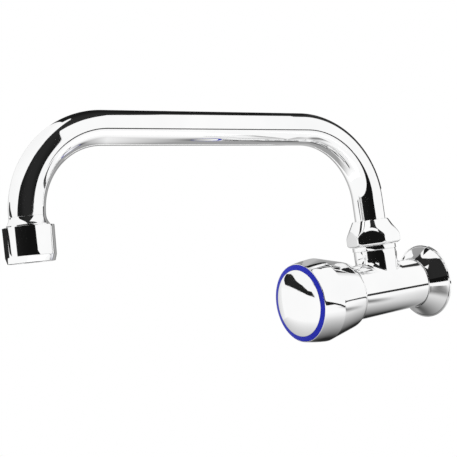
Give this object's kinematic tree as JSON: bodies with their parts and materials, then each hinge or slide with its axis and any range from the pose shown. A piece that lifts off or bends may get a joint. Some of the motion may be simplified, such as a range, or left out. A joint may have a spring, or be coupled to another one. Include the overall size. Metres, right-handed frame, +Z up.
{
  "type": "wall tap with swivel spout",
  "caption": "Wall-mounted cold water tap with a round knob, a screw-down valve and a swivelling tubular spout that bends over and ends in an aerator.",
  "frame": {"origin": "on the supply axis in the plane of the wall, at the back rim of the wall flange", "axes": "+Y into the wall along the supply thread, +Z up along the spout's swivel axis, +X to the right when facing the wall"},
  "size_m": [0.0494, 0.2675, 0.1359],
  "materials": {
    "chrome_plate": "mirror-bright chrome plate",
    "bare_brass": "turned, unplated",
    "steel": "plain stainless",
    "blue_index": "glossy moulded",
    "seal_rubber": "matte black",
    "white_plastic": "natural acetal",
    "grey_plastic": "moulded",
    "fibre": "vulcanised fibre"
  },
  "bodies": {
    "valve_body": {"tap_body": "chrome_plate", "wall_flange": "chrome_plate", "spout_nut": "chrome_plate", "headwork_bonnet": "bare_brass", "bonnet_gasket": "fibre"},
    "knob": {"knob_shell": "chrome_plate", "index_ring": "blue_index", "knob_cap": "chrome_plate", "handle_screw": "steel", "spline_insert": "bare_brass", "spindle": "bare_brass", "spindle_o_rings": "seal_rubber", "thrust_washer": "white_plastic", "spindle_clip": "steel"},
    "jumper": {"jumper": "bare_brass", "jumper_washer": "seal_rubber", "washer_screw": "steel"},
    "spout": {"spout_tube": "chrome_plate", "spout_tail": "bare_brass", "spout_o_rings": "seal_rubber", "slip_ring": "white_plastic", "outlet_tip": "chrome_plate", "aerator_housing": "chrome_plate", "aerator_washer": "seal_rubber", "aerator_insert": "grey_plastic", "aerator_screen": "steel"}
  },
  "joints": [
    {"name": "spout_swivel", "type": "hinge", "parent": "valve_body", "child": "spout", "pos_m": [0, -0.036, 0.03], "axis": [0, 0, 1], "range_deg": [-91.2, 98.8]},
    {"name": "knob_turn", "type": "hinge", "parent": "valve_body", "child": "knob", "pos_m": [0, -0.06, 0], "axis": [0, -1, 0], "range_deg": [0, 720]},
    {"name": "valve_lift", "type": "slide", "parent": "valve_body", "child": "jumper", "axis": [0, -1, 0], "range_m": [0, 0.0041]}
  ],
  "couplings": [
    {"joint": "valve_lift", "follows": "knob_turn", "m_per_rad": 0.00031831}
  ]
}
